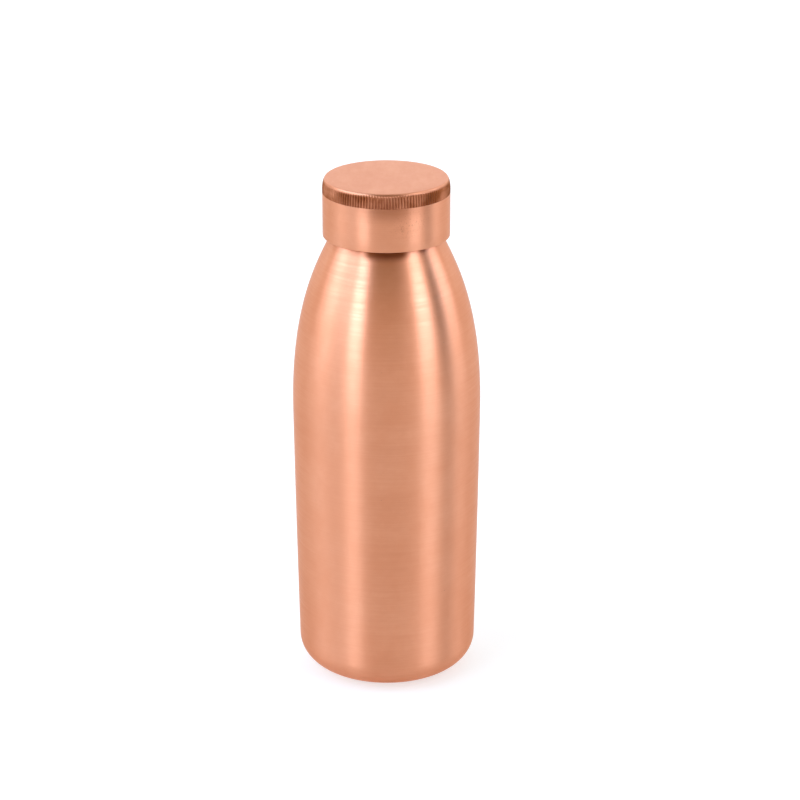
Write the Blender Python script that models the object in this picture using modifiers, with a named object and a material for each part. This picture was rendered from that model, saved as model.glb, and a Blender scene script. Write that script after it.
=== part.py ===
"""A 0.7 litre copper water bottle with a screw cap.

Frame: +Z up, origin at the centre of the foot's standing plane. The bottle is a spun copper shell. A
brazed base plate closes it below, and a threaded brass collar sits round its neck. The cap is a drawn
copper cup with a coin-edge knurl, and holds a brass thread ring, a copper liner and a silicone gasket.
Every number below is in millimetres; meshes are scaled to metres as they are made.
"""

import math

import bmesh
import bpy
from mathutils import Matrix, Vector
from mathutils.geometry import interpolate_bezier

MM = 0.001
FULL_TURN = 2 * math.pi
WELD_M = 0.00001

# Overall sizes
HEIGHT = 205.8
BODY_RADIUS = 37.5
BODY_WIDEST_Z = 113.0
CAP_RADIUS = 25.0
CAP_BOTTOM_Z = 182.6

# Sheet thicknesses, and the gap left between pieces that touch
SHELL_WALL = 0.6
PLATE_WALL = 0.6
CAP_WALL = 0.9
GAP = 0.3

# Base of the shell: a flat foot ring, then a soft corner up to the wall
FOOT_OUTER = 22.8
FOOT_INNER = 20.4
HEM_RADIUS = 19.4
HEM_TOP_Z = 3.0
CORNER_TOP_Z = 11.7
WALL_BOTTOM_RADIUS = 35.83
PLATE_BOTTOM_Z = 1.6
PLATE_CROWN_Z = 5.0

# The wall between the widest place and the corner: how its taper starts, and how it meets the corner
WALL_STRAIGHT = 3.0
WALL_TAPER = 1.08
WALL_TAPER_LENGTH = 47.6

# Shoulder and neck of the shell
SHOULDER_RADIUS = 21.876
SHOULDER_Z = CAP_BOTTOM_Z
SHOULDER_SLOPE = 0.457
SHOULDER_REACH = 10.2
SHOULDER_SWELL = 42.0
LEDGE_Z = 184.4
LEDGE_OUTER = 20.4
NECK_OUTER = 18.2
NECK_FILLET = 1.0
LIP_RADIUS = 20.0
LIP_TOP_Z = 200.5
LIP_ROUND = 1.2

# Screw thread: two starts, so one turn lifts the cap by twice the pitch
PITCH = 3.0
STARTS = 2
LEAD = PITCH * STARTS
THREAD_TURNS = 1.5
RIDGE_BASE_HALF = 0.85
RIDGE_CREST_HALF = 0.40
RIDGE_SUNK = 0.4
RIDGE_FADE_DEG = 40.0
COLLAR_BOTTOM_Z = LEDGE_Z + GAP
COLLAR_TOP_Z = LIP_TOP_Z - SHELL_WALL - GAP
COLLAR_BORE = NECK_OUTER + GAP
COLLAR_ROOT = 20.3
COLLAR_CREST = 21.35
COLLAR_THREAD_Z = 188.3
RING_BOTTOM_Z = 185.3
RING_TOP_Z = 202.9
RING_CREST = 20.75
RING_ROOT = 21.75
RING_OUTER = CAP_RADIUS - CAP_WALL - GAP
RING_THREAD_Z = COLLAR_THREAD_Z - PITCH / 2

# Cap
CAP_ROUND_RADIAL = 1.4
CAP_ROUND_HEIGHT = 4.4
CAP_EDGE_ROUND = 0.3
KNURL_BOTTOM_Z = 200.1
KNURL_TEETH = 136
KNURL_DEPTH = 0.4
GASKET_BOTTOM_Z = LIP_TOP_Z + 0.4
GASKET_TOP_Z = RING_TOP_Z
GASKET_INNER = 16.9
GASKET_OUTER = 21.35
LINER_BOTTOM_Z = RING_TOP_Z + GAP
LINER_TOP_Z = HEIGHT - CAP_WALL - GAP
LINER_RADIUS = RING_OUTER
LINER_WALL = 0.6

# Segments round the axis
SHELL_SEGMENTS = 48
CAP_SEGMENTS = KNURL_TEETH // 2
SMALL_SEGMENTS = 40

COPPER = ("copper", (0.83, 0.44, 0.30, 1.0), 0.32, 1.0)
BRASS = ("brass", (0.80, 0.62, 0.33, 1.0), 0.30, 1.0)
BRAZE = ("braze", (0.78, 0.66, 0.48, 1.0), 0.40, 1.0)
SILICONE = ("silicone", (0.86, 0.85, 0.82, 1.0), 0.55, 0.0)


# ---------------------------------------------------------------- helpers


def arc(centre, radii, start_deg, end_deg, steps):
    """Points of an elliptical arc in the (radius, height) plane."""
    points = []
    for i in range(steps + 1):
        angle = math.radians(start_deg + (end_deg - start_deg) * i / steps)
        points.append((centre[0] + radii[0] * math.cos(angle), centre[1] + radii[1] * math.sin(angle)))
    return points


def bezier(start, handle_a, handle_b, end, steps):
    """Points of a cubic curve in the (radius, height) plane."""
    knots = [Vector((p[0], p[1], 0.0)) for p in (start, handle_a, handle_b, end)]
    return [(p.x, p.y) for p in interpolate_bezier(*knots, steps + 1)]


def offset_inward(points, distance):
    """The run of outline moved into the sheet, for a profile that runs from top to bottom."""
    moved = []
    last = len(points) - 1
    for i, point in enumerate(points):
        before = Vector(points[max(i - 1, 0)])
        after = Vector(points[min(i + 1, last)])
        along = (after - before).normalized()
        moved.append((point[0] + along.y * distance, point[1] - along.x * distance))
    return moved


def material(name, colour, roughness, metallic):
    found = bpy.data.materials.get(name)
    if found:
        return found
    made = bpy.data.materials.new(name)
    made.use_nodes = True
    shader = made.node_tree.nodes["Principled BSDF"]
    shader.inputs["Base Color"].default_value = colour
    shader.inputs["Roughness"].default_value = roughness
    shader.inputs["Metallic"].default_value = metallic
    made.diffuse_color = colour
    return made


def add_object(name, mesh, look, collection):
    obj = bpy.data.objects.new(name, mesh)
    mesh.materials.append(material(*look))
    collection.objects.link(obj)
    return obj


def turned(name, profile, segments, look, collection):
    """A turned piece: the profile runs down its outer side and back up its inner side. A profile that
    starts and ends on the axis stays open there; any other is a closed loop."""
    mesh = bpy.data.meshes.new(name)
    count = len(profile)
    edges = [(i, i + 1) for i in range(count - 1)]
    if profile[0][0] > 0 or profile[-1][0] > 0:
        edges.append((count - 1, 0))
    mesh.from_pydata([(r * MM, 0.0, z * MM) for r, z in profile], edges, [])
    obj = add_object(name, mesh, look, collection)
    screw = obj.modifiers.new("turn", "SCREW")
    screw.steps = segments
    screw.render_steps = segments
    screw.use_merge_vertices = True
    screw.merge_threshold = WELD_M
    screw.use_smooth_shade = True
    return obj


def boolean(obj, other, operation):
    modifier = obj.modifiers.new(other.name, "BOOLEAN")
    modifier.operation = operation
    modifier.solver = "EXACT"
    modifier.object = other


def helper(obj):
    """Marks a shape that only joins or cuts another, so that it isn't a piece of its own."""
    obj.hide_render = True
    obj.display_type = "WIRE"
    return obj


def thread_ridge(name, wall_radius, crest_radius, start_z, start_deg, collection):
    """One start of a screw thread: a trapezoid carried up a helix, fading into the wall at both ends. The
    ridge stands outwards when its crest is wider than the wall, and inwards when it is narrower."""
    segments = SMALL_SEGMENTS
    outwards = 1 if crest_radius > wall_radius else -1
    height = abs(crest_radius - wall_radius)
    flank = (RIDGE_BASE_HALF - RIDGE_CREST_HALF) / height
    sections = round(THREAD_TURNS * segments)
    fade = RIDGE_FADE_DEG / 360 * segments
    mesh = bmesh.new()
    rings = []
    for i in range(sections + 1):
        angle = math.radians(start_deg) + FULL_TURN * i / segments
        middle = start_z + LEAD * i / segments
        full = min(1.0, min(i, sections - i) / fade)
        rise = height * full - RIDGE_SUNK / 2 * (1 - full)
        root = wall_radius - outwards * RIDGE_SUNK
        crest = wall_radius + outwards * rise
        root_half = RIDGE_BASE_HALF + flank * RIDGE_SUNK
        crest_half = RIDGE_BASE_HALF - flank * rise
        corners = [
            (root, middle - root_half),
            (crest, middle - crest_half),
            (crest, middle + crest_half),
            (root, middle + root_half),
        ]
        ring = []
        for radius, z in corners:
            place = Vector((radius * math.cos(angle), radius * math.sin(angle), z)) * MM
            ring.append(mesh.verts.new(place))
        rings.append(ring)
    for low, high in zip(rings, rings[1:]):
        for k in range(4):
            mesh.faces.new((low[k], low[(k + 1) % 4], high[(k + 1) % 4], high[k]))
    mesh.faces.new(rings[0])
    mesh.faces.new(rings[-1])
    bmesh.ops.recalc_face_normals(mesh, faces=mesh.faces)
    data = bpy.data.meshes.new(name)
    mesh.to_mesh(data)
    mesh.free()
    return helper(add_object(name, data, BRASS, collection))


def add_thread(piece, wall_radius, crest_radius, start_z, cutters):
    """Joins every start of the thread to a collar or a ring."""
    for start in range(STARTS):
        name = f"{piece.name}_ridge_{start + 1}"
        turn_deg = 360 * start / STARTS
        boolean(piece, thread_ridge(name, wall_radius, crest_radius, start_z, turn_deg, cutters), "UNION")


# ---------------------------------------------------------------- bottle


def shoulder_curve(steps):
    """The shell's outer side from under the cap down to its widest place."""
    return bezier(
        (SHOULDER_RADIUS, SHOULDER_Z),
        (SHOULDER_RADIUS + SHOULDER_SLOPE * SHOULDER_REACH, SHOULDER_Z - SHOULDER_REACH),
        (BODY_RADIUS, BODY_WIDEST_Z + SHOULDER_SWELL),
        (BODY_RADIUS, BODY_WIDEST_Z),
        steps,
    )


def wall_curve(steps):
    """The shell's outer side from its widest place down to the base corner: it narrows a little."""
    return bezier(
        (BODY_RADIUS, BODY_WIDEST_Z),
        (BODY_RADIUS, BODY_WIDEST_Z - WALL_STRAIGHT),
        (WALL_BOTTOM_RADIUS + WALL_TAPER, CORNER_TOP_Z + WALL_TAPER_LENGTH),
        (WALL_BOTTOM_RADIUS, CORNER_TOP_Z),
        steps,
    )


def body_shell(collection):
    """The spun shell, in one piece from the rolled drinking lip to the hem inside the foot."""
    corner = (WALL_BOTTOM_RADIUS - FOOT_OUTER, CORNER_TOP_Z)
    ledge_turn = 1.2
    outer_side = [(NECK_OUTER, LIP_TOP_Z - SHELL_WALL)]
    outer_side += arc((NECK_OUTER + NECK_FILLET, LEDGE_Z + NECK_FILLET), (NECK_FILLET,) * 2, 180, 270, 2)
    outer_side += arc((LEDGE_OUTER, LEDGE_Z - ledge_turn), (ledge_turn,) * 2, 90, 25, 2)
    outer_side += shoulder_curve(9)
    outer_side += wall_curve(3)[1:]
    outer_side += arc((FOOT_OUTER, CORNER_TOP_Z), corner, 0, -90, 5)[1:]
    inner_side = offset_inward(outer_side, SHELL_WALL)
    inner_side[-1] = (FOOT_OUTER, SHELL_WALL)

    hem_turn = FOOT_INNER - HEM_RADIUS
    hem = arc((FOOT_INNER, hem_turn), (hem_turn,) * 2, 270, 180, 2)
    hem.append((HEM_RADIUS, HEM_TOP_Z))
    hem.append((HEM_RADIUS + SHELL_WALL, HEM_TOP_Z))
    hem.append((HEM_RADIUS + SHELL_WALL, hem_turn))
    hem.append((FOOT_INNER, SHELL_WALL))

    bore = NECK_OUTER - SHELL_WALL
    lip = arc((bore + LIP_ROUND, LIP_TOP_Z - LIP_ROUND), (LIP_ROUND,) * 2, 180, 90, 3)[1:]
    edge = SHELL_WALL / 2
    lip += arc((LIP_RADIUS - edge, LIP_TOP_Z - edge), (edge, edge), 60, -90, 2)
    profile = lip + outer_side + hem + inner_side[::-1]
    return turned("body_shell", profile, SHELL_SEGMENTS, COPPER, collection)


def base_plate(collection):
    """The pressed plate that closes the foot. It is crowned upwards, so the bottle can't rock on it."""
    flange = HEM_RADIUS - GAP
    turn = 1.2
    turn_centre = (flange - turn, 3.0)
    crown_bottom = [(9.0, PLATE_CROWN_Z - 0.3), (0.0, PLATE_CROWN_Z)]
    outside = [(r, z + PLATE_WALL) for r, z in reversed(crown_bottom)]
    outside += arc(turn_centre, (turn,) * 2, 90, 0, 2)
    outside.append((flange, PLATE_BOTTOM_Z))
    inside = [(flange - PLATE_WALL, PLATE_BOTTOM_Z)]
    inside += arc(turn_centre, (turn - PLATE_WALL,) * 2, 0, 90, 2)
    inside += crown_bottom
    return turned("base_plate", outside + inside, SMALL_SEGMENTS, COPPER, collection)


def base_braze_ring(collection):
    """The fillet of brazing alloy that seals the plate's edge to the hem, seen from below."""
    wide = HEM_RADIUS - GAP
    narrow = wide - PLATE_WALL
    top = PLATE_BOTTOM_Z - GAP
    section = [(wide, top), (wide, top - 0.7), (wide - 0.25, top - 0.4), (narrow, top)]
    return turned("base_braze_ring", section, SMALL_SEGMENTS, BRAZE, collection)


def neck_collar(collection, cutters):
    """The brass collar round the neck, with the outside thread that the cap turns on."""
    chamfer = 0.9
    edge = 0.4
    profile = [
        (COLLAR_ROOT - edge, COLLAR_TOP_Z),
        (COLLAR_ROOT, COLLAR_TOP_Z - edge),
        (COLLAR_ROOT, COLLAR_BOTTOM_Z),
        (COLLAR_BORE + chamfer, COLLAR_BOTTOM_Z),
        (COLLAR_BORE, COLLAR_BOTTOM_Z + chamfer + 0.1),
        (COLLAR_BORE, COLLAR_TOP_Z),
    ]
    collar = turned("neck_collar", profile, SMALL_SEGMENTS, BRASS, collection)
    add_thread(collar, COLLAR_ROOT, COLLAR_CREST, COLLAR_THREAD_Z, cutters)
    return collar


def neck_braze_ring(collection):
    """The fillet of brazing alloy that seals the collar's foot to the ledge of the shell."""
    inner = COLLAR_ROOT + GAP
    bottom = LEDGE_Z + GAP
    section = [(inner, bottom + 0.7), (inner + 0.25, bottom + 0.3), (inner + 0.5, bottom)]
    section.append((inner, bottom))
    return turned("neck_braze_ring", section, SMALL_SEGMENTS, BRAZE, collection)


# ---------------------------------------------------------------- cap


def knurl_cutter(collection):
    """All the V grooves of the coin-edge knurl, as separate upright prisms round the cap."""
    half_width = KNURL_DEPTH
    clear = 0.6
    bottom, top = KNURL_BOTTOM_Z, HEIGHT + 1.0
    mesh = bmesh.new()
    for tooth in range(KNURL_TEETH):
        turn = Matrix.Rotation(FULL_TURN * (tooth + 0.5) / KNURL_TEETH, 4, "Z")
        spread = half_width * (KNURL_DEPTH + clear) / KNURL_DEPTH
        mouth = CAP_RADIUS + clear
        corners = [(CAP_RADIUS - KNURL_DEPTH, 0.0), (mouth, -spread), (mouth, spread)]
        low = [mesh.verts.new(turn @ Vector((x, y, bottom)) * MM) for x, y in corners]
        high = [mesh.verts.new(turn @ Vector((x, y, top)) * MM) for x, y in corners]
        mesh.faces.new(low)
        mesh.faces.new(high)
        for k in range(3):
            mesh.faces.new((low[k], low[(k + 1) % 3], high[(k + 1) % 3], high[k]))
    bmesh.ops.recalc_face_normals(mesh, faces=mesh.faces)
    data = bpy.data.meshes.new("knurl_cutter")
    mesh.to_mesh(data)
    mesh.free()
    return helper(add_object("knurl_cutter", data, COPPER, collection))


def cap_shell(collection, cutters):
    """The drawn copper cup of the cap, with its knurled band under the rounded top edge."""
    inner = CAP_RADIUS - CAP_WALL
    top_inside = HEIGHT - CAP_WALL
    edge_centre = (CAP_RADIUS - CAP_ROUND_RADIAL, HEIGHT - CAP_ROUND_HEIGHT)
    profile = [(0.0, HEIGHT)]
    profile += arc(edge_centre, (CAP_ROUND_RADIAL, CAP_ROUND_HEIGHT), 90, 0, 4)
    profile += [
        (CAP_RADIUS, CAP_BOTTOM_Z + CAP_EDGE_ROUND),
        (CAP_RADIUS - CAP_EDGE_ROUND, CAP_BOTTOM_Z),
        (inner + CAP_EDGE_ROUND, CAP_BOTTOM_Z),
        (inner, CAP_BOTTOM_Z + CAP_EDGE_ROUND),
        (inner, top_inside - 0.5),
        (inner - 0.5, top_inside),
        (0.0, top_inside),
    ]
    shell = turned("cap_shell", profile, CAP_SEGMENTS, COPPER, collection)
    boolean(shell, knurl_cutter(cutters), "DIFFERENCE")
    return shell


def cap_thread_ring(collection, cutters):
    """The brass ring pressed into the cap. It has the inside thread, and holds the gasket above it."""
    edge = 0.4
    lead_in = 0.6
    profile = [
        (RING_OUTER - edge, RING_TOP_Z),
        (RING_OUTER, RING_TOP_Z - edge),
        (RING_OUTER, RING_BOTTOM_Z + edge),
        (RING_OUTER - edge, RING_BOTTOM_Z),
        (RING_ROOT + lead_in, RING_BOTTOM_Z),
        (RING_ROOT, RING_BOTTOM_Z + lead_in),
        (RING_ROOT, RING_TOP_Z),
    ]
    ring = turned("cap_thread_ring", profile, SMALL_SEGMENTS, BRASS, collection)
    add_thread(ring, RING_ROOT, RING_CREST, RING_THREAD_Z, cutters)
    return ring


def cap_liner(collection):
    """The pressed copper pan over the thread ring, so that only copper and silicone face the water."""
    turn = 0.9
    floor_top = LINER_BOTTOM_Z + LINER_WALL
    bend = turn + 0.2
    profile = [
        (0.0, floor_top),
        (LINER_RADIUS - bend, floor_top),
        (LINER_RADIUS - LINER_WALL, LINER_BOTTOM_Z + bend),
        (LINER_RADIUS - LINER_WALL, LINER_TOP_Z),
        (LINER_RADIUS, LINER_TOP_Z),
        (LINER_RADIUS, LINER_BOTTOM_Z + turn),
        (LINER_RADIUS - turn, LINER_BOTTOM_Z),
        (0.0, LINER_BOTTOM_Z),
    ]
    return turned("cap_liner", profile, SMALL_SEGMENTS, COPPER, collection)


def cap_gasket(collection):
    """The flat silicone ring that the cap presses on the lip."""
    edge = 0.3
    profile = [
        (GASKET_OUTER, GASKET_TOP_Z),
        (GASKET_OUTER, GASKET_BOTTOM_Z + edge),
        (GASKET_OUTER - edge, GASKET_BOTTOM_Z),
        (GASKET_INNER + edge, GASKET_BOTTOM_Z),
        (GASKET_INNER, GASKET_BOTTOM_Z + edge),
        (GASKET_INNER, GASKET_TOP_Z),
    ]
    return turned("cap_gasket", profile, SMALL_SEGMENTS, SILICONE, collection)


# ---------------------------------------------------------------- assembly


def main():
    for obj in list(bpy.data.objects):
        bpy.data.objects.remove(obj)
    pieces = bpy.data.collections.new("copper_water_bottle")
    cutters = bpy.data.collections.new("cutters")
    bpy.context.scene.collection.children.link(pieces)
    bpy.context.scene.collection.children.link(cutters)

    body_shell(pieces)
    base_plate(pieces)
    base_braze_ring(pieces)
    neck_collar(pieces, cutters)
    neck_braze_ring(pieces)

    cap_shell(pieces, cutters)
    cap_thread_ring(pieces, cutters)
    cap_liner(pieces)
    cap_gasket(pieces)


main()
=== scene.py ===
"""Looks for a copper water bottle with a screw cap: fine surfaces, brushed metal and soft studio light.

Lengths in the shape functions are millimetres, as on the drawing of the bottle; meshes are made in metres.
"""

import math

import bmesh
import bpy
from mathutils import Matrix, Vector
from mathutils.geometry import interpolate_bezier


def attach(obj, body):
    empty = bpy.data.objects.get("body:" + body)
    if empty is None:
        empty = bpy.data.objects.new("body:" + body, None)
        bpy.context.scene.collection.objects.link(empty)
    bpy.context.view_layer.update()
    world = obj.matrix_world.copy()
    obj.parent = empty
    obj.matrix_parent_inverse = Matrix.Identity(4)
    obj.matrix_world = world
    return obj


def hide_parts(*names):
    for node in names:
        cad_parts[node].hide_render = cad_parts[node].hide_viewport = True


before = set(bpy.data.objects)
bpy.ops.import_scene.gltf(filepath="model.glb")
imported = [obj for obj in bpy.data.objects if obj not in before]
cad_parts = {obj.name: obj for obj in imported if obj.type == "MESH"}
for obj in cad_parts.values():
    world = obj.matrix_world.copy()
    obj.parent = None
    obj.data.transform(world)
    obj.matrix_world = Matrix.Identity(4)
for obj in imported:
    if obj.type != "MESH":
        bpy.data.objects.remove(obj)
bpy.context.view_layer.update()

MM = 0.001
FULL_TURN = 2 * math.pi

# The bottle's sizes, in millimetres
HEIGHT = 205.8
BODY_RADIUS = 37.5
BODY_WIDEST_Z = 113.0
CAP_RADIUS = 25.0
CAP_BOTTOM_Z = 182.6
SHELL_WALL = 0.6
CAP_WALL = 0.9
GAP = 0.3
FOOT_OUTER = 22.8
FOOT_INNER = 20.4
HEM_RADIUS = 19.4
HEM_TOP_Z = 3.0
CORNER_TOP_Z = 11.7
WALL_BOTTOM_RADIUS = 35.83
SHOULDER_RADIUS = 21.876
SHOULDER_SLOPE = 0.457
LEDGE_Z = 184.4
LEDGE_OUTER = 20.4
NECK_OUTER = 18.2
LIP_RADIUS = 20.0
LIP_TOP_Z = 200.5
PITCH = 3.0
LEAD = 6.0
THREAD_STARTS = 2
THREAD_TURNS = 1.5
COLLAR_BOTTOM_Z = LEDGE_Z + GAP
COLLAR_TOP_Z = LIP_TOP_Z - SHELL_WALL - GAP
COLLAR_BORE = NECK_OUTER + GAP
COLLAR_ROOT = 20.3
COLLAR_CREST = 21.35
COLLAR_THREAD_Z = 188.3
RING_BOTTOM_Z = 185.3
RING_TOP_Z = 202.9
RING_CREST = 20.75
RING_ROOT = 21.75
RING_OUTER = CAP_RADIUS - CAP_WALL - GAP
RING_THREAD_Z = COLLAR_THREAD_Z - PITCH / 2

# The knurled band. Its grooves are shown shallower than they are cut, which reads as worn teeth.
KNURL_BOTTOM_Z = 200.1
KNURL_TEETH = 136
KNURL_HALF_WIDTH = 0.4
KNURL_SHOWN_DEPTH = 0.28

# The rounded edge above it: its size, and how far below the top the knurl and its tarnish stop and fade
EDGE_HEIGHT = 4.4
EDGE_WIDTH = 1.4
EDGE_POLISHED = 0.4
EDGE_FADE = 1.0

# How finely the surfaces are made: vertices round a turned piece, and the step between a thread's rows
TURN_COLUMNS = 160
SHELL_COLUMNS = 256
THREAD_COLUMNS = 192
THREAD_ROW = 0.125


# ---------------------------------------------------------------- shape helpers


def arc(centre, radii, start_deg, end_deg, steps):
    """Points of an elliptical arc in the (radius, height) plane."""
    points = []
    for i in range(steps + 1):
        angle = math.radians(start_deg + (end_deg - start_deg) * i / steps)
        points.append((centre[0] + radii[0] * math.cos(angle), centre[1] + radii[1] * math.sin(angle)))
    return points


def bezier(start, handle_a, handle_b, end, steps):
    """Points of a cubic curve in the (radius, height) plane."""
    knots = [Vector((p[0], p[1], 0.0)) for p in (start, handle_a, handle_b, end)]
    return [(p.x, p.y) for p in interpolate_bezier(*knots, steps + 1)]


def offset_inward(points, distance):
    """The run of outline moved into the sheet, for a profile that runs from top to bottom."""
    moved = []
    last = len(points) - 1
    for i, point in enumerate(points):
        before = Vector(points[max(i - 1, 0)])
        after = Vector(points[min(i + 1, last)])
        along = (after - before).normalized()
        moved.append((point[0] + along.y * distance, point[1] - along.x * distance))
    return moved


def rounded(corners, radius, steps=3, closed=True):
    """An outline with each corner turned into a small curve of that size."""
    points = []
    last = len(corners) - 1
    for i, corner in enumerate(corners):
        here = Vector(corner)
        if not closed and i in (0, last):
            points.append(tuple(here))
            continue
        back = Vector(corners[i - 1]) - here
        on = Vector(corners[(i + 1) % len(corners)]) - here
        reach = min(radius, back.length * 0.45, on.length * 0.45)
        start = here + back.normalized() * reach
        end = here + on.normalized() * reach
        for k in range(steps + 1):
            t = k / steps
            points.append(tuple(start * (1 - t) ** 2 + here * 2 * t * (1 - t) + end * t**2))
    return points


def lathe(name, profile, columns, radius_at=None):
    """A closed turned mesh. The profile runs down the outside and back up the inside. Points on the axis
    become one vertex. radius_at(r, z, angle) may change the radius round the turn."""
    mesh = bmesh.new()
    rings = []
    for r, z in profile:
        if r < 1e-6:
            rings.append([mesh.verts.new((0.0, 0.0, z * MM))])
            continue
        ring = []
        for angle in columns:
            radius = radius_at(r, z, angle) if radius_at else r
            x = radius * math.cos(angle)
            y = radius * math.sin(angle)
            ring.append(mesh.verts.new((x * MM, y * MM, z * MM)))
        rings.append(ring)
    pairs = list(zip(rings, rings[1:]))
    if len(rings[0]) > 1:
        pairs.append((rings[-1], rings[0]))
    count = len(columns)
    for upper, lower in pairs:
        for j in range(count):
            k = (j + 1) % count
            if len(upper) == 1 and len(lower) == 1:
                continue
            if len(upper) == 1:
                mesh.faces.new((upper[0], lower[j], lower[k]))
            elif len(lower) == 1:
                mesh.faces.new((upper[j], lower[0], upper[k]))
            else:
                mesh.faces.new((upper[j], lower[j], lower[k], upper[k]))
    data = bpy.data.meshes.new(name)
    mesh.to_mesh(data)
    mesh.free()
    data.shade_smooth()
    obj = bpy.data.objects.new(name, data)
    bpy.context.scene.collection.objects.link(obj)
    return obj


def even_columns(count):
    return [FULL_TURN * i / count for i in range(count)]


def finish_piece(obj, materials, body, slot, *nodes):
    for mat in materials:
        obj.data.materials.append(mat)
    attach(obj, body)
    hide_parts(*nodes)
    return obj


# ---------------------------------------------------------------- node helpers


class Nodes:
    """A short way to write a node tree: a call adds a node, sets its inputs and returns its output."""

    def __init__(self, tree):
        self.tree = tree

    def add(self, kind, inputs=None, output=0, **settings):
        node = self.tree.nodes.new(kind)
        for key, value in settings.items():
            setattr(node, key, value)
        for key, value in (inputs or {}).items():
            socket = node.inputs[key]
            if isinstance(value, bpy.types.NodeSocket):
                self.tree.links.new(value, socket)
            else:
                socket.default_value = value
        return node.outputs[output]

    def math(self, operation, a, b=0.0, clamp=False):
        return self.add("ShaderNodeMath", {0: a, 1: b}, operation=operation, use_clamp=clamp)

    def mix(self, factor, a, b, blend="MIX"):
        return self.add("ShaderNodeMix", {0: factor, 6: a, 7: b}, 2, data_type="RGBA", blend_type=blend)

    def spread(self, value, low, high, to_low=0.0, to_high=1.0, smooth=True):
        kind = "SMOOTHSTEP" if smooth else "LINEAR"
        sockets = {0: value, 1: low, 2: high, 3: to_low, 4: to_high}
        return self.add("ShaderNodeMapRange", sockets, interpolation_type=kind)

    def noise(self, vector, scale, detail=4.0, roughness=0.55):
        sockets = {"Vector": vector, "Scale": scale, "Detail": detail, "Roughness": roughness}
        return self.add("ShaderNodeTexNoise", sockets, "Fac")

    def stretched(self, vector, scale):
        return self.add("ShaderNodeVectorMath", {0: vector, 1: scale}, operation="MULTIPLY")


def new_material(name):
    mat = bpy.data.materials.new(name)
    mat.use_nodes = True
    tree = mat.node_tree
    tree.nodes.clear()
    return mat, Nodes(tree)


def shader(n, inputs):
    out = n.add("ShaderNodeBsdfPrincipled", inputs, "BSDF")
    n.tree.links.new(out, n.tree.nodes.new("ShaderNodeOutputMaterial").inputs["Surface"])


# ---------------------------------------------------------------- materials

COPPER = (0.81, 0.352, 0.202, 1.0)
COPPER_PALE = (0.85, 0.392, 0.238, 1.0)
COPPER_WARM = (0.76, 0.305, 0.165, 1.0)
EDGE_TINT = (0.98, 0.70, 0.55, 1.0)
# Tarnish colours. The body's copper also uses them for the painted shade under the cap
PATINA_AND_SHADE = (0.33, 0.098, 0.035, 1.0)
PATINA_AND_SHADE_DEEP = (0.20, 0.055, 0.02, 1.0)
PATINA_SPECK = (0.30, 0.12, 0.07, 1.0)

# Places on the bottle, in metres: brown film and a smudge on the cap's side, and a spot of painted shade
# under the cap
FILM_PLACE = (0.002, -0.025, 0.2)
SMUDGE_PLACE = (0.0085, -0.0235, 0.197)
SHADE_SPOT_PLACE = (0.0, -0.022, 0.1826)

# How much the noise is stretched along each axis, per metre, so that brush marks run round the axis
ROUND_THE_AXIS = (38.0, 38.0, 2600.0)
ACROSS_THE_TOP = (260.0, 90.0, 260.0)
INSIDE = (120.0, 120.0, 900.0)


def brushed_copper(name, grain, grain_depth, roughness, anisotropic, coat, tarnish_and_shade=None):
    """Satin copper under thin lacquer. grain is how the brush marks run, and grain_depth is their depth in
    millimetres. coat is the lacquer's weight and roughness. The stain function, called with (n, place,
    cloud), gives an amount from 0 to 1 and how deep its colour is: tarnish on the cap, painted shade under
    the cap on the body."""
    mat, n = new_material(name)
    place = n.add("ShaderNodeTexCoord", output="Object")
    marks = n.noise(n.stretched(place, grain), 1.0, 7.0, 0.62)
    long_marks = n.noise(n.stretched(place, [g * 0.27 for g in grain]), 1.0, 3.0, 0.5)
    cloud = n.noise(place, 45.0, 4.0, 0.6)
    mottle = n.noise(n.stretched(place, (300.0, 300.0, 700.0)), 1.0, 5.0, 0.65)
    specks = n.add("ShaderNodeTexVoronoi", {"Vector": place, "Scale": 420.0}, "Distance")
    where = n.noise(place, 95.0, 2.0)
    dots = n.math("MULTIPLY", n.spread(specks, 0.10, 0.03), n.spread(where, 0.60, 0.68))

    colour = n.mix(n.spread(cloud, 0.30, 0.70), COPPER_WARM, COPPER_PALE)
    colour = n.mix(0.5, colour, COPPER)
    tone = n.math("ADD", n.math("MULTIPLY", marks, 0.6), n.math("MULTIPLY", mottle, 0.4))
    colour = n.mix(n.spread(tone, 0.36, 0.64, 0.0, 0.30), colour, COPPER_WARM)
    colour = n.mix(n.math("MULTIPLY", dots, 0.55), colour, PATINA_SPECK)
    rough = n.spread(marks, 0.25, 0.75, roughness - 0.06, roughness + 0.07)
    lacquer = coat[0]
    if tarnish_and_shade:
        amount, depth = tarnish_and_shade(n, place, cloud)
        # Tarnish on the cap's knurl. On the body, this is the painted shade under the cap
        colour = n.mix(amount, colour, n.mix(depth, PATINA_AND_SHADE, PATINA_AND_SHADE_DEEP))
        rough = n.math("ADD", rough, n.math("MULTIPLY", amount, 0.18))
        lacquer = n.spread(amount, 0.0, 1.0, coat[0], 0.0)
    height = n.math("ADD", n.math("MULTIPLY", marks, 0.7), n.math("MULTIPLY", long_marks, 0.3))
    bump = n.add("ShaderNodeBump", {"Strength": 1.0, "Distance": grain_depth * MM, "Height": height})
    round_axis = n.add("ShaderNodeTangent", direction_type="RADIAL", axis="Z")
    shader(
        n,
        {
            "Base Color": colour,
            "Metallic": 1.0,
            "Roughness": rough,
            "Normal": bump,
            "Specular Tint": EDGE_TINT,
            "Anisotropic": anisotropic,
            "Anisotropic Rotation": 0.25,
            "Tangent": round_axis,
            "Coat Weight": lacquer,
            "Coat Roughness": coat[1],
            "Coat IOR": 1.5,
        },
    )
    return mat


def height_of(n, place):
    """The height above the foot, in metres, of the point that is shaded."""
    parts = n.tree.nodes.new("ShaderNodeSeparateXYZ")
    n.tree.links.new(place, parts.inputs[0])
    return parts.outputs["Z"]


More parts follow.
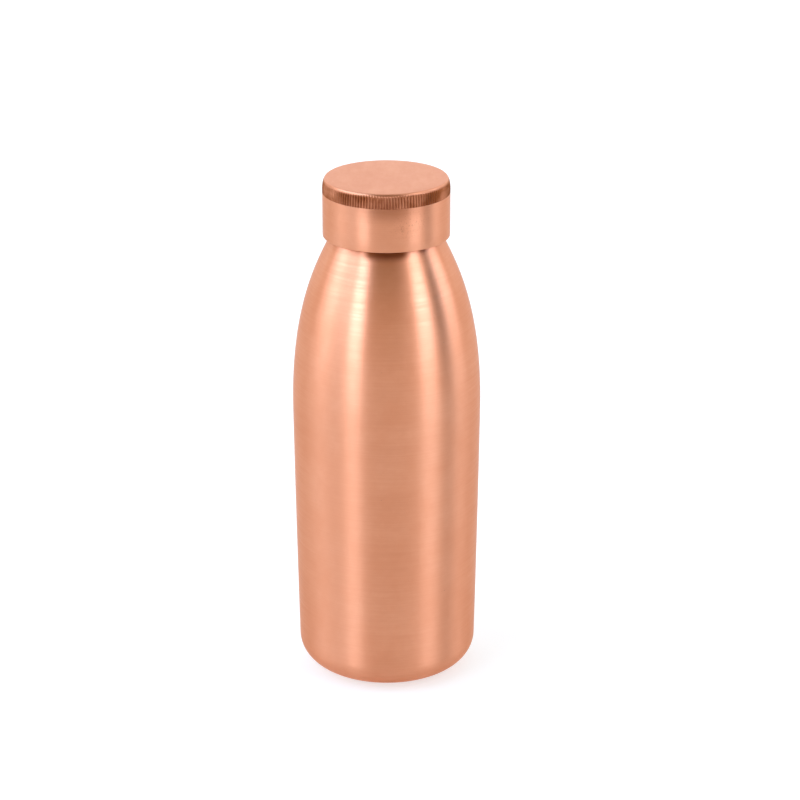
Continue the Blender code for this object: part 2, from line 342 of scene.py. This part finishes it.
def near_to(n, place, spot, full, gone):
    """1 within a distance of a spot on the object, falling to 0 further away; distances in millimetres."""
    offset = n.add("ShaderNodeVectorMath", {0: place, 1: spot}, operation="SUBTRACT")
    away = n.add("ShaderNodeVectorMath", {0: offset}, "Value", operation="LENGTH")
    return n.spread(away, full * MM, gone * MM, 1.0, 0.0)


def painted_shade_under_cap(n, place, cloud):
    """Painted shade: a thin brown line on the shoulder just under the cap's rim, wider at one spot in
    front.
    """
    height = height_of(n, place)
    line = n.spread(height, (CAP_BOTTOM_Z - 0.9) * MM, (CAP_BOTTOM_Z + 0.3) * MM, 0.0, 0.6)
    spot = near_to(n, place, SHADE_SPOT_PLACE, 6.0, 10.5)
    fade = n.spread(height, (CAP_BOTTOM_Z - 5.0) * MM, (CAP_BOTTOM_Z - 1.4) * MM)
    shade_spot = n.math("MULTIPLY", spot, fade)
    return n.math("MAXIMUM", line, shade_spot), n.math("MULTIPLY", shade_spot, 0.35)


def stain_in_knurl(n, place, cloud):
    """Tarnish that polishing leaves in the knurl, a thin film under it, and a smudge of dark specks."""
    groove = n.add("ShaderNodeAttribute", output="Fac", attribute_name="groove")
    band = n.add("ShaderNodeAttribute", output="Fac", attribute_name="band")
    patch = n.noise(place, 120.0, 3.0, 0.6)
    film = n.math("MULTIPLY", band, n.spread(patch, 0.35, 0.65, 0.65, 1.0))
    below = n.spread(height_of(n, place), (KNURL_BOTTOM_Z - 8.0) * MM, KNURL_BOTTOM_Z * MM, 0.0, 0.5)
    film = n.math("MAXIMUM", film, n.math("MULTIPLY", below, near_to(n, place, FILM_PLACE, 4.0, 20.0)))
    filled = n.math("MULTIPLY", groove, n.spread(cloud, 0.35, 0.65, 0.5, 0.95))
    near = near_to(n, place, SMUDGE_PLACE, 2.0, 12.0)
    soot = n.noise(place, 1500.0, 4.0, 0.7)
    blotch = n.noise(place, 420.0, 3.0, 0.6)
    dirt = n.math("ADD", n.spread(soot, 0.56, 0.66, 0.0, 0.6), n.spread(blotch, 0.45, 0.75, 0.0, 0.22))
    smudge = n.math("MULTIPLY", near, dirt)
    both = n.math("MAXIMUM", n.math("MAXIMUM", film, filled), smudge, clamp=True)
    return both, n.math("MULTIPLY", groove, 0.6)


def machined_brass():
    mat, n = new_material("brass_machined")
    place = n.add("ShaderNodeTexCoord", output="Object")
    turning = n.noise(n.stretched(place, (30.0, 30.0, 9000.0)), 1.0, 5.0, 0.6)
    cloud = n.noise(place, 160.0, 4.0)
    colour = n.mix(n.spread(cloud, 0.3, 0.7), (0.70, 0.50, 0.24, 1.0), (0.82, 0.63, 0.34, 1.0))
    colour = n.mix(n.spread(turning, 0.55, 0.75, 0.0, 0.4), colour, (0.55, 0.38, 0.18, 1.0))
    bump = n.add("ShaderNodeBump", {"Strength": 0.8, "Distance": 0.02 * MM, "Height": turning})
    rough = n.spread(turning, 0.3, 0.7, 0.24, 0.38)
    shader(n, {"Base Color": colour, "Metallic": 1.0, "Roughness": rough, "Normal": bump})
    return mat


def brazing_alloy():
    mat, n = new_material("brazing_alloy")
    place = n.add("ShaderNodeTexCoord", output="Object")
    pits = n.noise(place, 2600.0, 5.0, 0.6)
    cloud = n.noise(place, 260.0, 3.0)
    colour = n.mix(n.spread(cloud, 0.3, 0.7), (0.62, 0.48, 0.32, 1.0), (0.78, 0.68, 0.52, 1.0))
    colour = n.mix(n.spread(pits, 0.52, 0.7, 0.0, 0.5), colour, (0.34, 0.22, 0.15, 1.0))
    bump = n.add("ShaderNodeBump", {"Strength": 1.0, "Distance": 0.05 * MM, "Height": pits})
    rough = n.spread(pits, 0.3, 0.7, 0.36, 0.55)
    shader(n, {"Base Color": colour, "Metallic": 1.0, "Roughness": rough, "Normal": bump})
    return mat


def silicone():
    mat, n = new_material("silicone_white")
    place = n.add("ShaderNodeTexCoord", output="Object")
    grain = n.noise(place, 3800.0, 3.0)
    cloud = n.noise(place, 190.0, 3.0)
    colour = n.mix(n.spread(cloud, 0.3, 0.7), (0.74, 0.73, 0.69, 1.0), (0.84, 0.83, 0.80, 1.0))
    bump = n.add("ShaderNodeBump", {"Strength": 0.6, "Distance": 0.01 * MM, "Height": grain})
    rough = n.spread(grain, 0.3, 0.7, 0.46, 0.62)
    shader(
        n,
        {
            "Base Color": colour,
            "Roughness": rough,
            "Normal": bump,
            "Subsurface Weight": 0.25,
            "Subsurface Scale": 0.002,
        },
    )
    return mat


SIDE_COAT = (0.3, 0.25)
TOP_COAT = (0.5, 0.35)
NO_COAT = (0.0, 0.4)
# The body's copper carries painted shade on the shoulder under the cap
body_copper = brushed_copper("copper_body", ROUND_THE_AXIS, 0.012, 0.36, 0.90, SIDE_COAT, painted_shade_under_cap)
cap_copper = brushed_copper("copper_cap_side", ROUND_THE_AXIS, 0.012, 0.34, 0.90, SIDE_COAT, stain_in_knurl)
top_copper = brushed_copper("copper_cap_top", ACROSS_THE_TOP, 0.006, 0.40, 0.0, TOP_COAT)
inner_copper = brushed_copper("copper_inside", INSIDE, 0.012, 0.46, 0.3, NO_COAT)
brass = machined_brass()
braze = brazing_alloy()
gasket_silicone = silicone()


# ---------------------------------------------------------------- bottle


def shell_outside():
    """The shell's outer side, from under the rolled lip down to the foot."""
    ledge_turn = 1.2
    points = [(NECK_OUTER, LIP_TOP_Z - SHELL_WALL)]
    points += arc((NECK_OUTER + 1.0, LEDGE_Z + 1.0), (1.0, 1.0), 180, 270, 8)
    points += arc((LEDGE_OUTER, LEDGE_Z - ledge_turn), (ledge_turn, ledge_turn), 90, 25, 8)
    points += bezier(
        (SHOULDER_RADIUS, CAP_BOTTOM_Z),
        (SHOULDER_RADIUS + SHOULDER_SLOPE * 10.2, CAP_BOTTOM_Z - 10.2),
        (BODY_RADIUS, BODY_WIDEST_Z + 42.0),
        (BODY_RADIUS, BODY_WIDEST_Z),
        48,
    )
    points += bezier(
        (BODY_RADIUS, BODY_WIDEST_Z),
        (BODY_RADIUS, BODY_WIDEST_Z - 3.0),
        (WALL_BOTTOM_RADIUS + 1.08, CORNER_TOP_Z + 47.6),
        (WALL_BOTTOM_RADIUS, CORNER_TOP_Z),
        24,
    )[1:]
    corner = (WALL_BOTTOM_RADIUS - FOOT_OUTER, CORNER_TOP_Z)
    points += arc((FOOT_OUTER, CORNER_TOP_Z), corner, 0, -90, 20)[1:]
    return points


def body_shell():
    outside = shell_outside()
    inside = offset_inward(outside, SHELL_WALL)
    inside[-1] = (FOOT_OUTER, SHELL_WALL)
    turn = FOOT_INNER - HEM_RADIUS
    hem = arc((FOOT_INNER, turn), (turn, turn), 270, 180, 8)
    hem += arc((HEM_RADIUS + SHELL_WALL / 2, HEM_TOP_Z - SHELL_WALL / 2), (SHELL_WALL / 2,) * 2, 180, 0, 8)
    hem += arc((FOOT_INNER, turn), (turn - SHELL_WALL,) * 2, 180, 270, 4)
    bore = NECK_OUTER - SHELL_WALL
    lip = arc((bore + 1.2, LIP_TOP_Z - 1.2), (1.2, 1.2), 180, 90, 10)[1:]
    lip += arc((LIP_RADIUS - SHELL_WALL / 2, LIP_TOP_Z - SHELL_WALL / 2), (SHELL_WALL / 2,) * 2, 88, -90, 8)
    profile = lip + outside + hem + inside[::-1]
    obj = lathe("bottle_shell", profile, even_columns(SHELL_COLUMNS))
    first_inside = len(lip) + len(outside) + len(hem) - 1
    for index, polygon in enumerate(obj.data.polygons):
        if index // SHELL_COLUMNS >= first_inside:
            polygon.material_index = 1
    return finish_piece(obj, [body_copper, inner_copper], "bottle", "copper_body", "body_shell")


def base_plate():
    """A shallow dome, 0.6 mm thick, with its flange turned down inside the hem."""
    flange = HEM_RADIUS - GAP
    turn = 1.2
    centre = (flange - turn, 3.0)
    outside = [(0.0, 5.6), (4.0, 5.55), (9.0, 5.3), (13.5, 4.8)] + arc(centre, (turn, turn), 80, 0, 8)
    outside.append((flange, 1.6))
    inside = [(flange - 0.6, 1.6)] + arc(centre, (0.6, 0.6), 0, 80, 8)
    inside += [(13.5, 4.2), (9.0, 4.7), (4.0, 4.95), (0.0, 5.0)]
    obj = lathe("foot_plate", outside + inside, even_columns(TURN_COLUMNS))
    return finish_piece(obj, [inner_copper], "bottle", "copper_body", "base_plate")


def braze_ring(name, section, node):
    obj = lathe(name, section, even_columns(TURN_COLUMNS), ripple)
    return finish_piece(obj, [braze], "bottle", "brazing_alloy", node)


def ripple(r, z, angle):
    """A brazed fillet is slightly uneven round its run."""
    return r - 0.03 - 0.03 * math.sin(angle * 23 + z * 3) * math.sin(angle * 7)


def thread_column(angle, z, start_z, wall, crest):
    """Radius of a threaded wall there: rounded trapezoid ridges, which fade out at both ends."""
    best = wall
    rise = crest - wall
    for start in range(THREAD_STARTS):
        turned = (angle - FULL_TURN * start / THREAD_STARTS) % FULL_TURN / FULL_TURN
        for lap in range(3):
            along = turned + lap
            if along > THREAD_TURNS:
                continue
            fade = min(1.0, min(along, THREAD_TURNS - along) * 9.0)
            away = abs(z - start_z - LEAD * along)
            share = min(1.0, max(0.0, (0.85 - away) / 0.45)) * fade
            share = share * share * (3 - 2 * share)
            if abs(rise * share) > abs(best - wall):
                best = wall + rise * share
    return best


def fine_rows(start, end, step):
    count = max(1, round(abs(end - start) / step))
    return [start + (end - start) * i / count for i in range(count + 1)]


def neck_collar():
    def radius_at(r, z, angle):
        if abs(r - COLLAR_ROOT) > 1e-6:
            return r
        return thread_column(angle, z, COLLAR_THREAD_Z, COLLAR_ROOT, COLLAR_CREST)

    profile = [(COLLAR_BORE, COLLAR_TOP_Z), (COLLAR_ROOT - 0.4, COLLAR_TOP_Z)]
    profile += [(COLLAR_ROOT, z) for z in fine_rows(COLLAR_TOP_Z - 0.4, COLLAR_BOTTOM_Z, THREAD_ROW)]
    profile += [(COLLAR_BORE + 0.9, COLLAR_BOTTOM_Z), (COLLAR_BORE, COLLAR_BOTTOM_Z + 1.0)]
    obj = lathe("neck_thread", profile, even_columns(THREAD_COLUMNS), radius_at)
    obj.data.set_sharp_from_angle(angle=math.radians(50))
    return finish_piece(obj, [brass], "bottle", "brass", "neck_collar")


# ---------------------------------------------------------------- cap


def knurl_columns():
    """Angles round the cap: six to a tooth, on the groove's middle, flanks and edges and on the land."""
    offsets = (-0.40, -0.20, 0.0, 0.20, 0.40, 0.5775)
    pitch = FULL_TURN * CAP_RADIUS / KNURL_TEETH
    angles = []
    for tooth in range(KNURL_TEETH):
        for offset in offsets:
            angles.append(((tooth + 0.5) * pitch + offset) / CAP_RADIUS)
    return angles


def groove_depth(angle):
    """How far the V groove's surface lies under the cap's side at that angle, in millimetres."""
    pitch = FULL_TURN / KNURL_TEETH
    away = abs((angle / pitch) % 1.0 - 0.5) * pitch * CAP_RADIUS
    return KNURL_SHOWN_DEPTH * max(0.0, 1 - away / KNURL_HALF_WIDTH)


def knurl_share(z):
    """1 over the knurled band, falling to 0 where the rounded edge turns into the top."""
    return min(1.0, max(0.0, (HEIGHT - EDGE_POLISHED - z) / EDGE_FADE))


def in_band(r, z):
    """True on the knurl and the rounded edge above it, and not on the flat top or inside the cup."""
    return KNURL_BOTTOM_Z - 0.001 <= z and r > CAP_RADIUS - 1.2


def cap_shell():
    inner = CAP_RADIUS - CAP_WALL
    top_inside = HEIGHT - CAP_WALL
    edge_centre = (CAP_RADIUS - EDGE_WIDTH, HEIGHT - EDGE_HEIGHT)
    rim = 0.3

    def radius_at(r, z, angle):
        return r - groove_depth(angle) * knurl_share(z) if in_band(r, z) else r

    profile = [(0.0, HEIGHT), (8.0, HEIGHT), (16.0, HEIGHT), (21.0, HEIGHT)]
    profile += arc(edge_centre, (EDGE_WIDTH, EDGE_HEIGHT), 90, 0, 20)
    profile += [(CAP_RADIUS, KNURL_BOTTOM_Z + 0.6), (CAP_RADIUS, KNURL_BOTTOM_Z)]
    profile += [(CAP_RADIUS, KNURL_BOTTOM_Z - 0.07), (CAP_RADIUS, 196.0), (CAP_RADIUS, 189.0)]
    profile += arc((CAP_RADIUS - rim, CAP_BOTTOM_Z + rim), (rim, rim), 0, -90, 4)
    profile += arc((inner + rim, CAP_BOTTOM_Z + rim), (rim, rim), 270, 180, 4)
    profile += arc((inner - 0.5, top_inside - 0.5), (0.5, 0.5), 0, 90, 3)
    profile.append((0.0, top_inside))
    obj = lathe("cap_cup", profile, knurl_columns(), radius_at)
    mesh = obj.data
    mesh.set_sharp_from_angle(angle=math.radians(30))
    groove = mesh.attributes.new("groove", "FLOAT", "POINT")
    band = mesh.attributes.new("band", "FLOAT", "POINT")
    for i, vertex in enumerate(mesh.vertices):
        z = vertex.co.z / MM
        r = math.hypot(vertex.co.x, vertex.co.y) / MM
        if in_band(r, z):
            angle = math.atan2(vertex.co.y, vertex.co.x) % FULL_TURN
            groove.data[i].value = groove_depth(angle) / KNURL_SHOWN_DEPTH * knurl_share(z)
            band.data[i].value = knurl_share(z)
    for polygon in mesh.polygons:
        centre = polygon.center / MM
        out = math.hypot(centre.x, centre.y)
        if centre.z > HEIGHT - EDGE_POLISHED:
            polygon.material_index = 1
        elif out < inner + 0.05 and centre.z < top_inside + 0.1:
            polygon.material_index = 2
    return finish_piece(obj, [cap_copper, top_copper, inner_copper], "cap", "copper_cap", "cap_shell")


def cap_thread_ring():
    def radius_at(r, z, angle):
        if abs(r - RING_ROOT) > 1e-6:
            return r
        return thread_column(angle, z, RING_THREAD_Z, RING_ROOT, RING_CREST)

    profile = [(RING_OUTER - 0.4, RING_TOP_Z), (RING_OUTER, RING_TOP_Z - 0.4)]
    profile += [(RING_OUTER, RING_BOTTOM_Z + 0.4), (RING_OUTER - 0.4, RING_BOTTOM_Z)]
    profile.append((RING_ROOT + 0.6, RING_BOTTOM_Z))
    profile += [(RING_ROOT, z) for z in fine_rows(RING_BOTTOM_Z + 0.6, RING_TOP_Z, THREAD_ROW)]
    obj = lathe("cap_thread", profile, even_columns(THREAD_COLUMNS), radius_at)
    obj.data.set_sharp_from_angle(angle=math.radians(50))
    return finish_piece(obj, [brass], "cap", "brass", "cap_thread_ring")


def cap_liner():
    bottom = RING_TOP_Z + GAP
    top = HEIGHT - CAP_WALL - GAP
    corners = [(0.0, bottom + 0.6), (RING_OUTER - 1.1, bottom + 0.6), (RING_OUTER - 0.6, bottom + 1.1)]
    corners += [(RING_OUTER - 0.6, top), (RING_OUTER, top), (RING_OUTER, bottom + 0.9)]
    corners += [(RING_OUTER - 0.9, bottom), (0.0, bottom)]
    obj = lathe("cap_pan", rounded(corners, 0.25, 3, closed=False), even_columns(TURN_COLUMNS))
    return finish_piece(obj, [inner_copper], "cap", "copper_cap", "cap_liner")


def cap_gasket():
    low = LIP_TOP_Z + 0.4
    corners = [(21.35, RING_TOP_Z), (21.35, low), (16.9, low), (16.9, RING_TOP_Z)]
    obj = lathe("seal_ring", rounded(corners, 0.35, 4), even_columns(TURN_COLUMNS))
    return finish_piece(obj, [gasket_silicone], "seal", "silicone", "cap_gasket")


body_shell()
base_plate()
foot = HEM_RADIUS - GAP
foot_fillet = [(foot, 1.3), (foot, 0.65), (foot - 0.12, 0.78), (foot - 0.32, 1.02), (foot - 0.6, 1.28)]
braze_ring("foot_braze", foot_fillet, "base_braze_ring")
neck_collar()
neck = COLLAR_ROOT + GAP + 0.06
seat = LEDGE_Z + GAP
neck_fillet = [(neck, seat + 0.65), (neck + 0.1, seat + 0.4), (neck + 0.25, seat + 0.2), (neck + 0.5, seat)]
neck_fillet.append((neck, seat))
braze_ring("neck_braze", neck_fillet, "neck_braze_ring")
cap_shell()
cap_thread_ring()
cap_liner()
cap_gasket()


# ---------------------------------------------------------------- studio

# How bright the floor is as a light, and how bright the camera sees it; it lights the bottle warmly
FLOOR_GLOW = 0.33
FLOOR_SEEN_GLOW = 0.55
FLOOR_WARMTH = (1.0, 0.80, 0.62, 1.0)
FLOOR_HALF = 12.0

# Brightness of the room's low and high walls, of the back wall and of the light overhead
ROOM_STRENGTH = 0.84
LOW_WALL = 1.13
HIGH_WALL = 0.12
BACK_WALL = 1.3
OVERHEAD = 1.1

# Angles in degrees: azimuth from the camera's side to where the back wall starts, then elevations
BACK_STARTS = 125.0
SPLIT = 30.0
CEILING = 60.0
OVERHEAD_STARTS = 72.0
BLUR_DEG = 4.0

KEY_TINT = (0.88, 1.12, 1.48)
SIDE_TINT = (1.0, 1.02, 1.04)
BACK_TINT = (1.0, 1.1, 1.2)
ROOM_TINT = (1.06, 0.95, 0.86)

# Soft panels round the bottle: middle azimuth, half width, lowest and highest elevation in degrees, then
# brightness and tint. A negative brightness is a black flag. Azimuth 0 is on the camera's side, and a
# positive one is to its right.
PANELS = (
    (-41.0, 9.5, 1.0, SPLIT, 4.9, KEY_TINT),
    (-83.0, 27.0, 7.0, SPLIT, 1.7, KEY_TINT),
    (-88.0, 9.0, 3.0, SPLIT, 1.2, KEY_TINT),
    (-64.0, 7.0, -8.0, 14.0, -0.7, ROOM_TINT),
    (-76.0, 34.0, SPLIT, CEILING, 2.4, KEY_TINT),
    (54.0, 10.5, 1.0, SPLIT, 3.7, KEY_TINT),
    (0.0, 22.0, 8.0, CEILING, -0.2, KEY_TINT),
    (81.0, 10.0, -8.0, SPLIT, -1.4, ROOM_TINT),
    (99.0, 12.0, 0.0, SPLIT, 1.9, KEY_TINT),
    (76.0, 36.0, SPLIT, CEILING, 1.7, SIDE_TINT),
)


def add_floor():
    """A white table top. The camera sees it overexposed, as in a catalogue picture."""
    mesh = bpy.data.meshes.new("studio_floor")
    half = FLOOR_HALF
    corners = [(-half, -half, 0.0), (half, -half, 0.0), (half, half, 0.0), (-half, half, 0.0)]
    mesh.from_pydata(corners, [], [(0, 1, 2, 3)])
    floor = bpy.data.objects.new("studio_floor", mesh)
    bpy.context.scene.collection.objects.link(floor)
    mat, n = new_material("floor_white")
    is_camera = n.add("ShaderNodeLightPath", output="Is Camera Ray")
    shader(
        n,
        {
            "Base Color": (0.54, 0.57, 0.57, 1.0),
            "Roughness": 0.8,
            "Specular IOR Level": 0.2,
            "Emission Color": n.mix(is_camera, FLOOR_WARMTH, (1.0, 1.0, 1.0, 1.0)),
            "Emission Strength": n.spread(is_camera, 0.0, 1.0, FLOOR_GLOW, FLOOR_SEEN_GLOW),
        },
    )
    mesh.materials.append(mat)


def studio_world():
    """A dim, slightly warm room whose walls carry soft panels of cooler light."""
    world = bpy.data.worlds.new("studio_room")
    bpy.context.scene.world = world
    world.use_nodes = True
    world.node_tree.nodes.clear()
    n = Nodes(world.node_tree)
    way = n.add("ShaderNodeTexCoord", output="Generated")
    parts = world.node_tree.nodes.new("ShaderNodeSeparateXYZ")
    world.node_tree.links.new(way, parts.inputs[0])
    x, y, z = parts.outputs
    azimuth = n.math("DEGREES", n.math("ARCTAN2", x, n.math("MULTIPLY", y, -1.0)))
    elevation = n.math("DEGREES", n.math("ARCSINE", z))

    def between(value, low, high):
        rise = n.spread(value, low - BLUR_DEG, low + BLUR_DEG)
        fall = n.spread(value, high - BLUR_DEG, high + BLUR_DEG, 1.0, 0.0)
        return n.math("MULTIPLY", rise, fall)

    def glow(amount, tint):
        return n.add("ShaderNodeVectorMath", {0: tint, "Scale": amount}, operation="SCALE")

    def plus(light, amount, tint):
        return n.add("ShaderNodeVectorMath", {0: light, 1: glow(amount, tint)})

    room = n.spread(elevation, SPLIT - BLUR_DEG, SPLIT + BLUR_DEG, LOW_WALL, HIGH_WALL)
    back = between(n.math("ABSOLUTE", azimuth), BACK_STARTS, 200.0)
    behind = n.math("MULTIPLY", back, between(elevation, -10.0, CEILING))
    above = n.spread(elevation, OVERHEAD_STARTS - BLUR_DEG, OVERHEAD_STARTS + BLUR_DEG, 0.0, OVERHEAD)
    light = glow(n.math("MULTIPLY", room, n.math("SUBTRACT", 1.0, behind)), ROOM_TINT)
    light = plus(light, n.math("MULTIPLY", behind, BACK_WALL), BACK_TINT)
    light = plus(light, above, SIDE_TINT)
    for middle, half_width, low, high, brightness, tint in PANELS:
        across = between(azimuth, middle - half_width, middle + half_width)
        share = n.math("MULTIPLY", across, between(elevation, low, high))
        light = plus(light, n.math("MULTIPLY", share, brightness), tint)
    lit = n.add("ShaderNodeBackground", {"Color": light, "Strength": ROOM_STRENGTH})
    out = world.node_tree.nodes.new("ShaderNodeOutputWorld")
    world.node_tree.links.new(lit, out.inputs["Surface"])


def add_camera():
    """A long lens from a little above, as far off centre as the bottle stands in the picture."""
    elevation = math.radians(20.83)
    distance = 1.0907
    data = bpy.data.cameras.new("camera")
    data.lens = 122.5
    data.sensor_width = 36.0
    data.clip_start = 0.05
    data.clip_end = 60.0
    camera = bpy.data.objects.new("camera", data)
    bpy.context.scene.collection.objects.link(camera)
    back = Vector((0.0, -math.cos(elevation), math.sin(elevation)))
    camera.location = Vector((0.00533, 0.0, 0.113)) + back * distance
    camera.rotation_euler = (math.pi / 2 - elevation, 0.0, 0.0)
    bpy.context.scene.camera = camera


add_floor()
studio_world()
add_camera()
bpy.context.scene.view_settings.view_transform = "Standard"
